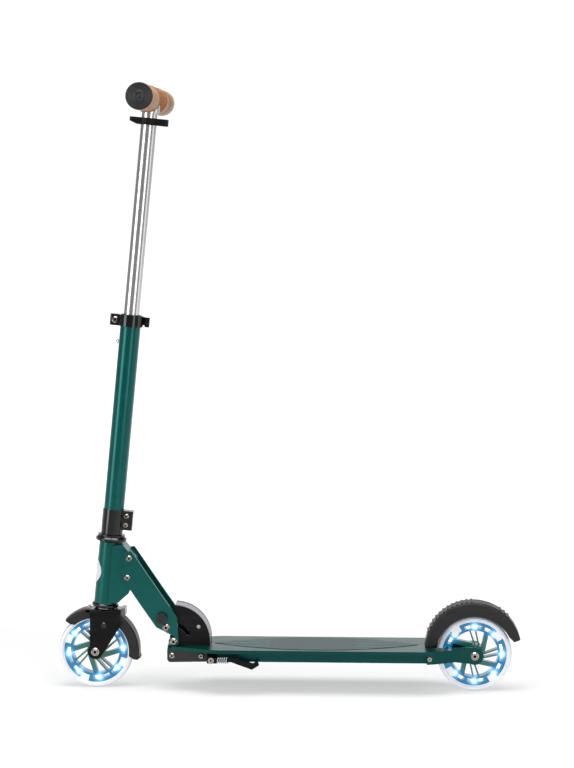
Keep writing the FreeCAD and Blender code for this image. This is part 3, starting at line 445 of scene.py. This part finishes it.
BOLT_HEAD = bolt_head_group()
for bolt, (head_radius, count) in BOLTS.items():
    head, head_wear = turned_steel(bolt + "_steel")
    out = None
    for x, z in head_centres(bolt, head_radius, count):
        here = head.group(BOLT_HEAD, Head_X=x, Head_Z=z, Radius=head_radius).outputs["Out"]
        out = here if out is None else head.math("MINIMUM", out, here)
    shading_ring_place = head.math("MULTIPLY_ADD", head_wear, HEAD_SCUFFING, out)
    # The head's rings of painted shade and highlight, shifted a little by wear.
    head.colour(head.ramp(shading_ring_place, *HEAD_PAINTED_SHADING_RINGS))
    head.on(bolt)


# Black steel: the fork's folded sheet and the kickstand are powder coated with a fine even texture.
# The two brackets under the nose have a greyer coat.
black_steel = handled("black_steel", (0.003, 0.003, 0.0033), (0.008, 0.008, 0.0085), 0.34, 0.5,
                      (1300.0, 0.00006), Coat_Weight=0.08, Coat_Roughness=0.12, Specular_IOR_Level=0.08)
black_steel.on("kickstand_block", "kickstand_arm", "fork")

bracket_steel = handled("bracket_steel", (0.016, 0.016, 0.017), (0.028, 0.028, 0.03), 0.38, 0.52,
                        (1300.0, 0.00004), Specular_IOR_Level=0.4)
bracket_steel.on("nose_brackets")


# Kickstand spring: five turns of bright wire wound on the shank, its ends ground flat. It is a helix
# made by Geometry Nodes along the spring's axis.
WIRE_R = 0.00115
COIL_TURNS = 5.2
STEPS_A_TURN = 40
WIRE_SIDES = 14
spring_low, spring_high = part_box("kickstand_spring")


def helix_tree():
    """A spiral curve swept with a round wire, laid along X and placed at the spring's middle."""
    tree = bpy.data.node_groups.new("helix", "GeometryNodeTree")
    tree.interface.new_socket("Geometry", in_out="INPUT", socket_type="NodeSocketGeometry")
    for label in ("Turns", "Coil radius", "Length", "Wire radius"):
        tree.interface.new_socket(label, in_out="INPUT", socket_type="NodeSocketFloat")
    tree.interface.new_socket("Middle", in_out="INPUT", socket_type="NodeSocketVector")
    tree.interface.new_socket("Finish", in_out="INPUT", socket_type="NodeSocketMaterial")
    tree.interface.new_socket("Geometry", in_out="OUTPUT", socket_type="NodeSocketGeometry")
    given, result = tree.nodes.new("NodeGroupInput"), tree.nodes.new("NodeGroupOutput")
    spiral = tree.nodes.new("GeometryNodeCurveSpiral")
    spiral.inputs["Resolution"].default_value = STEPS_A_TURN
    lift = tree.nodes.new("ShaderNodeCombineXYZ")
    half = tree.nodes.new("ShaderNodeMath")
    half.operation = "MULTIPLY"
    half.inputs[1].default_value = -0.5
    centre = tree.nodes.new("GeometryNodeTransform")
    turn = tree.nodes.new("GeometryNodeTransform")
    turn.inputs["Rotation"].default_value = (0, math.radians(90), 0)
    wire = tree.nodes.new("GeometryNodeCurvePrimitiveCircle")
    wire.inputs["Resolution"].default_value = WIRE_SIDES
    sweep = tree.nodes.new("GeometryNodeCurveToMesh")
    sweep.inputs["Fill Caps"].default_value = True
    smooth = tree.nodes.new("GeometryNodeSetShadeSmooth")
    solid = tree.nodes.new("GeometryNodeRealizeInstances")
    cover = tree.nodes.new("GeometryNodeSetMaterial")
    for source, target in (
            (given.outputs["Turns"], spiral.inputs["Rotations"]),
            (given.outputs["Coil radius"], spiral.inputs["Start Radius"]),
            (given.outputs["Coil radius"], spiral.inputs["End Radius"]),
            (given.outputs["Length"], spiral.inputs["Height"]),
            (given.outputs["Length"], half.inputs[0]),
            (half.outputs[0], lift.inputs["Z"]),
            (spiral.outputs[0], centre.inputs["Geometry"]),
            (lift.outputs[0], centre.inputs["Translation"]),
            (centre.outputs[0], turn.inputs["Geometry"]),
            (given.outputs["Middle"], turn.inputs["Translation"]),
            (turn.outputs[0], sweep.inputs["Curve"]),
            (given.outputs["Wire radius"], wire.inputs["Radius"]),
            (wire.outputs["Curve"], sweep.inputs["Profile Curve"]),
            (sweep.outputs[0], smooth.inputs["Geometry"]),
            (smooth.outputs[0], solid.inputs["Geometry"]),
            (solid.outputs[0], cover.inputs["Geometry"]),
            (given.outputs["Finish"], cover.inputs["Material"]),
            (cover.outputs[0], result.inputs[0])):
        tree.links.new(source, target)
    return tree


def grown(name, tree, **inputs):
    """A plain mesh object made by a Geometry Nodes tree with these inputs."""
    seed = bpy.data.objects.new(name + "_seed", bpy.data.meshes.new(name + "_seed"))
    bpy.context.scene.collection.objects.link(seed)
    modifier = seed.modifiers.new("make", "NODES")
    modifier.node_group = tree
    for socket in tree.interface.items_tree:
        key = socket.name.replace(" ", "_")
        if socket.in_out == "INPUT" and key in inputs:
            modifier[socket.identifier] = inputs[key]
    bpy.context.view_layer.update()
    ready = seed.evaluated_get(bpy.context.evaluated_depsgraph_get())
    mesh = bpy.data.meshes.new_from_object(ready)
    piece = bpy.data.objects.new(name, mesh)
    bpy.context.scene.collection.objects.link(piece)
    bpy.data.objects.remove(seed)
    return piece


kick_coil = grown("kickstand_coil", helix_tree(), Turns=COIL_TURNS,
                  Coil_radius=(spring_high.z - spring_low.z) / 2 - WIRE_R,
                  Length=spring_high.x - spring_low.x - 2 * WIRE_R, Wire_radius=WIRE_R,
                  Middle=(spring_low + spring_high) / 2, Finish=zinc.material)
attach(kick_coil, "kickstand")
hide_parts("kickstand_spring")


# Mudguards: tough injection-moulded plastic with a fine spark-eroded texture. The rear one is the foot
# brake, with moulded cross ridges for the shoe.
guard_plastic = handled("guard_plastic", (0.015, 0.015, 0.016), (0.023, 0.023, 0.0245), 0.40, 0.56,
                        (1600.0, 0.00009), clouds=18.0, Specular_IOR_Level=0.25)
guard_plastic.on("brake", "front_mudguard")


# Neck and post: two pressed side plates, the head tube with its welded lug, and the outer post, all in the
# deck's paint under more lacquer, but lighter than the deck's as a painted light. The plain oval badge is
# satin metal.
# How much of the green the neck's paint keeps: more than the deck's, a painted light on the neck and post.
NECK_PAINTED_LIGHT_SHARE = 1.12
neck_paint = painted("neck_paint", 0.25, NECK_PAINTED_LIGHT_SHARE)
neck_paint.on("neck_plate_left", "neck_plate_right", "head_tube", "steering_tube")

badge = handled("badge_metal", (0.70, 0.70, 0.72), (0.55, 0.55, 0.57), 0.3, 0.42, (900.0, 0.00003),
                clouds=40.0, Metallic=0.1)
badge.on("head_badge")


# Headset, clamps and fold button: black anodised and lacquered, with a sharp gloss, and the two bolts
# that hold the front mudguard match them.
gloss_black = handled("gloss_black", (0.002, 0.002, 0.0022), (0.005, 0.005, 0.0055), 0.14, 0.26,
                      (1200.0, 0.00002), clouds=30.0, Coat_Weight=0.75, Coat_Roughness=0.08,
                      Specular_IOR_Level=0.1)
gloss_black.on("bearing_cups", "locknut", "lower_clamp", "collar", "mudguard_bolts", "fold_button")


# Telescopic post and crossbar: polished chrome, drawn so smooth that its surface only wavers slightly,
# and the buttons that lock the height and the handles.
chrome = handled("chrome", (0.64, 0.63, 0.62), (0.55, 0.54, 0.53), 0.22, 0.26, (60.0, 0.0000004),
                 clouds=9.0, Metallic=1.0)
chrome.on("inner_tube", "cross_tube", "grip_tube_left", "grip_tube_right", "height_button",
          "snap_button_left", "snap_button_right")


# Handles: turned from laminated wood, in light, orange and dark brown layers that run across the handle,
# with a close straight grain and an oiled surface. The bands are partly the wood's own layers and partly
# painted light and shade: the light band by the outer flange and the dark brown bands on the handle's body.
LIGHT_WOOD, ORANGE_WOOD, BROWN_WOOD_AND_SHADE = (0.42, 0.225, 0.115), (0.36, 0.160, 0.062), (0.16, 0.072, 0.036)
TAN_WOOD, GREY_WOOD = (0.36, 0.17, 0.072), (0.30, 0.16, 0.09)
# Bands along the handle: partly the wood's layers, partly painted light by the flange and painted shade in
# the dark brown bands.
WOOD_LAYERS_AND_PAINTED_SHADING = ((0.0, ORANGE_WOOD), (0.10, BROWN_WOOD_AND_SHADE), (0.22, LIGHT_WOOD), (0.36, ORANGE_WOOD), (0.52, TAN_WOOD),
          (0.66, BROWN_WOOD_AND_SHADE), (0.80, GREY_WOOD), (0.86, LIGHT_WOOD), (0.97, LIGHT_WOOD), (1.0, ORANGE_WOOD))
LAYER_WAVER = 0.003
FIBRES = (90.0, 420.0, 90.0)
FIBRE_DARKENS = 0.35

grip_low, grip_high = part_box("grip_left")
wood = Finish("handle_wood", Specular_IOR_Level=0.2, Roughness=0.5)
wood_at = wood.add("ShaderNodeTexCoord").outputs["Object"]
waver = wood.add("ShaderNodeTexNoise", Scale=60.0, Detail=3.0)
wood.link(wood_at, waver.inputs["Vector"])
from_middle = wood.math("ABSOLUTE", wood.axes(wood_at)["Y"])
layer = wood.math("ADD", from_middle, wood.math("MULTIPLY", waver.outputs["Fac"], LAYER_WAVER))
layers_deep = grip_high.y - grip_low.y + LAYER_WAVER
layer = wood.math("DIVIDE", wood.math("SUBTRACT", layer, grip_low.y), layers_deep)
stretch = wood.add("ShaderNodeMapping", Scale=FIBRES)
fibres = wood.add("ShaderNodeTexNoise", Scale=1.0, Detail=5.0)
wood.link(wood_at, stretch.inputs["Vector"])
wood.link(stretch.outputs["Vector"], fibres.inputs["Vector"])
fibre_shade = wood.ramp(fibres.outputs["Fac"], (0.3, (0.62, 0.58, 0.55)), (0.65, (1.0, 1.0, 1.0)))
fibre_mix = wood.add("ShaderNodeMix", data_type="RGBA", blend_type="MULTIPLY")
fibre_mix.inputs["Factor"].default_value = FIBRE_DARKENS
wood.link(wood.ramp(layer, *WOOD_LAYERS_AND_PAINTED_SHADING), fibre_mix.inputs["A"])
wood.link(fibre_shade, fibre_mix.inputs["B"])
wood.colour(fibre_mix.outputs["Result"])
wood_bump = wood.add("ShaderNodeBump", Distance=0.00003, Strength=0.6)
wood.link(fibres.outputs["Fac"], wood_bump.inputs["Height"])
wood.link(wood_bump.outputs["Normal"], wood.shader.inputs["Normal"])
wood.on("grip_left", "grip_right")


# End caps: black rubber discs, moulded with fine concentric rings round a raised boss. Each is a
# turned profile with every ring cut into it.
CAP_RINGS = 9
RING_DEPTH = 0.00025
BOSS_RISE = 0.0012
BOSS_SHARE = 0.42
DIMPLE_DEPTH = 0.0013
RIM_STEP = 0.0014
EDGE_ROUND = 0.0010
FILLET = 0.0002
AXIS_GAP = 0.00002
CAP_SIDES = 96

cap_rubber = handled("cap_rubber", (0.013, 0.013, 0.0135), (0.024, 0.024, 0.025), 0.44, 0.6,
                     (1500.0, 0.00001), clouds=40.0, Specular_IOR_Level=0.4)


def turned_piece(name, profile, centre, outward):
    """Turns a profile of (radius, distance out) about the Y axis through centre."""
    points, faces = [], []
    for radius, out in profile:
        for i in range(CAP_SIDES):
            angle = 2 * math.pi * i / CAP_SIDES
            spoke = Vector((radius * math.cos(angle), outward * out, radius * math.sin(angle)))
            points.append(centre + spoke)
    for row in range(len(profile) - 1):
        for i in range(CAP_SIDES):
            j = (i + 1) % CAP_SIDES
            a, b = row * CAP_SIDES + i, row * CAP_SIDES + j
            quad = (a, b, b + CAP_SIDES, a + CAP_SIDES)
            faces.append(quad if outward < 0 else tuple(reversed(quad)))
    for row, flip in ((0, True), (len(profile) - 1, False)):
        loop = tuple(range(row * CAP_SIDES, (row + 1) * CAP_SIDES))
        faces.append(tuple(reversed(loop)) if flip == (outward < 0) else loop)
    mesh = bpy.data.meshes.new(name)
    mesh.from_pydata(points, [], faces)
    mesh.validate()
    mesh.shade_smooth()
    piece = bpy.data.objects.new(name, mesh)
    bpy.context.scene.collection.objects.link(piece)
    return piece


def cap_profile(radius, thickness):
    """The disc's edge, its rings, and the boss with its dimple, from the rim inwards."""
    face = thickness - BOSS_RISE
    boss = radius * BOSS_SHARE
    profile = [(radius, 0.0), (radius, face - EDGE_ROUND),
               (radius - EDGE_ROUND * 0.4, face - EDGE_ROUND * 0.3), (radius - EDGE_ROUND * 1.1, face)]
    step = (radius - RIM_STEP - boss) / CAP_RINGS
    for i in range(CAP_RINGS):
        start = radius - RIM_STEP - i * step
        profile += [(start, face), (start - step * 0.3, face - RING_DEPTH),
                    (start - step * 0.7, face - RING_DEPTH), (start - step * 0.98, face)]
    profile += [(boss * 0.97, face + FILLET), (boss * 0.82, thickness), (boss * 0.62, thickness),
                (boss * 0.50, thickness - DIMPLE_DEPTH), (boss * 0.34, thickness - DIMPLE_DEPTH),
                (boss * 0.24, thickness - FILLET), (AXIS_GAP, thickness)]
    return profile


for side, outward in (("left", 1), ("right", -1)):
    low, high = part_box("grip_cap_" + side)
    inner_face = low.y if outward > 0 else high.y
    centre = Vector(((low.x + high.x) / 2, inner_face, (low.z + high.z) / 2))
    profile = cap_profile((high.z - low.z) / 2, high.y - low.y)
    cap = turned_piece("end_cap_" + side, profile, centre, outward)
    cap.data.materials.append(cap_rubber.material)
    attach(cap, side + "_handle")
    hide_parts("grip_cap_" + side)


# Wheels: a clear cast tyre over a green core with toothed lobes. A coil lights the lamps in the core as the
# wheel turns, so the core glows blue round each lamp and the tyre carries the light. The core's colour is
# also painted blue round each lamp, a painted pool of light, and the tyre glows faintly all over, a painted
# light that keeps it pale.
LAMP_RING = 0.044
LAMPS = 8
CORE_GLOW, TYRE_GLOW = 0.021, 0.024
LAMP_CENTRE = 0.001
# A thin dark line of painted shade runs round the tyre at this radius, where its clear side turns edge on.
SHADE_LINE_RADIUS, SHADE_LINE_HALF = 0.0592, 0.0005
# The core's colours: green, turning blue round each lamp as a painted pool of the lamps' light.
CORE_GREEN_AND_PAINTED_LAMP_LIGHT = ((0.0, (0.002, 0.125, 0.098)), (0.5, (0.002, 0.11, 0.17)), (1.0, (0.01, 0.16, 0.32)))
CORE_LIGHT = ((0.0, (0.0, 0.008, 0.010)), (0.25, (0.0, 0.030, 0.085)), (0.55, (0.0, 0.090, 0.24)),
              (0.80, (0.06, 0.26, 0.48)), (0.93, (0.50, 0.74, 0.92)), (1.0, (0.95, 0.98, 1.0)))
TYRE_AND_SHADE_LINE_COLOURS = ((0.0, (0.84, 0.84, 0.87)), (1.0, (0.02, 0.04, 0.04)))
# The tyre's light: a painted glow all over, brighter round the lamps.
TYRE_LAMP_AND_PAINTED_LIGHT = ((0.0, (0.66, 0.66, 0.70)), (0.5, (0.66, 0.72, 0.84)), (1.0, (0.95, 0.97, 1.0)))
LAMP_LIGHT = ((0.0, (0.75, 0.88, 1.0)), (1.0, (1.0, 1.0, 1.0)))


def hypotenuse(finish, a, b):
    """The length of a vector with these two parts."""
    squares = [finish.math("MULTIPLY", part, part) for part in (a, b)]
    return finish.math("SQRT", finish.math("ADD", *squares))


def from_axle(finish, axle):
    """How far forward of the axle and above it a point of the wheel is, and how far from it."""
    place = finish.add("ShaderNodeTexCoord")
    centred = finish.add("ShaderNodeMapping", Location=(-axle.x, 0, -axle.z))
    finish.link(place.outputs["Object"], centred.inputs["Vector"])
    axes = finish.axes(centred.outputs["Vector"])
    return axes["X"], axes["Z"], hypotenuse(finish, axes["X"], axes["Z"])


def glow(finish, axle, turn, spread):
    """How near a point is to the nearest of the lamps, from 0 to 1."""
    x, z, radius = from_axle(finish, axle)
    angle = finish.math("ADD", finish.math("ARCTAN2", z, x), math.radians(turn))
    swing = finish.math("ABSOLUTE", finish.math("SINE", finish.math("MULTIPLY", angle, LAMPS / 2)))
    away = finish.math("MULTIPLY", swing, LAMP_RING * 2 / LAMPS)
    distance = hypotenuse(finish, away, finish.math("SUBTRACT", radius, LAMP_RING))
    return finish.fade(distance, spread, LAMP_CENTRE, 0.0, 1.0)


for end, turn in (("front", 7.0), ("rear", 0.0)):
    low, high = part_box(end + "_tyre")
    axle = (low + high) / 2

    core = Finish(end + "_core_plastic", Coat_Weight=0.4, Coat_Roughness=0.1, Roughness=0.28,
                  Emission_Strength=1.0)
    core_glow = glow(core, axle, turn, CORE_GLOW)
    # The core's own colour is painted blue round each lamp, a painted pool of light under its glow.
    core.colour(core.ramp(core_glow, *CORE_GREEN_AND_PAINTED_LAMP_LIGHT))
    core.link(core.ramp(core_glow, *CORE_LIGHT), core.shader.inputs["Emission Color"])
    core.grain(700.0, 0.00002)
    core.on(end + "_core")

    # The tyre gives off a little light all over, even far from the lamps: a painted light that keeps the
    # clear tyre pale.
    tyre = Finish(end + "_clear_tyre", Transmission_Weight=0.2, IOR=1.42, Emission_Strength=0.15,
                  Coat_Weight=0.2, Coat_Roughness=0.1)
    worn(tyre, 0.12, 0.26, 12.0)
    tyre_glow = glow(tyre, axle, turn, TYRE_GLOW)
    tyre.link(tyre.ramp(tyre_glow, *TYRE_LAMP_AND_PAINTED_LIGHT), tyre.shader.inputs["Emission Color"])
    # The thin line of painted shade round the tyre's tread edge.
    shade_line = tyre.math("COMPARE", from_axle(tyre, axle)[2], SHADE_LINE_RADIUS, SHADE_LINE_HALF)
    tyre.colour(tyre.ramp(shade_line, *TYRE_AND_SHADE_LINE_COLOURS))
    tyre.grain(500.0, 0.00002)
    tyre.on(end + "_tyre")

    lamp = Finish(end + "_lamp", Roughness=0.3, Emission_Strength=2.2, Base_Color=(0.8, 0.9, 1.0, 1))
    sparkle = lamp.grain(900.0, 0.00004)
    lamp.link(lamp.ramp(sparkle, *LAMP_LIGHT), lamp.shader.inputs["Emission Color"])
    lamp.on(end + "_lights")
